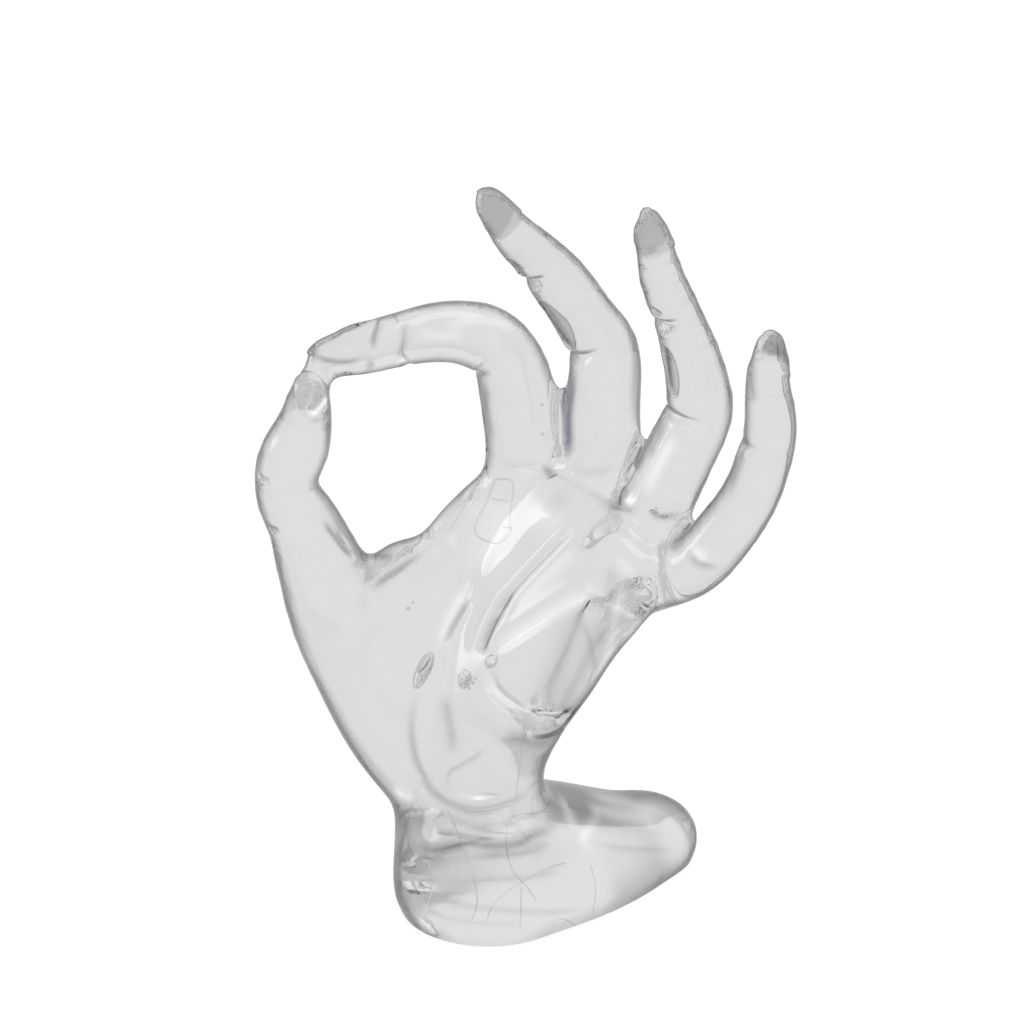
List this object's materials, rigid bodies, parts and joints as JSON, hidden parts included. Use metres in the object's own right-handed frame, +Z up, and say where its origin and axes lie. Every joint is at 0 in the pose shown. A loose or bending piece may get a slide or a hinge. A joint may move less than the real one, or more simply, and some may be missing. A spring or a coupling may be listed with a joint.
{
  "type": "hand jewelry stand",
  "caption": "Clear cast hand on a flared wrist base that makes a ring with thumb and index finger, for hanging rings, bracelets and necklaces",
  "frame": {"origin": "on the flat underside of the foot, below the wrist", "axes": "+Z up along the hand, +X towards the little finger's side as the palm is seen, +Y away behind the hand"},
  "size_m": [0.1122, 0.0567, 0.1612],
  "materials": {
    "clear_resin": "clear, polished"
  },
  "bodies": {
    "root": {"hand_casting": "clear_resin"}
  },
  "joints": []
}
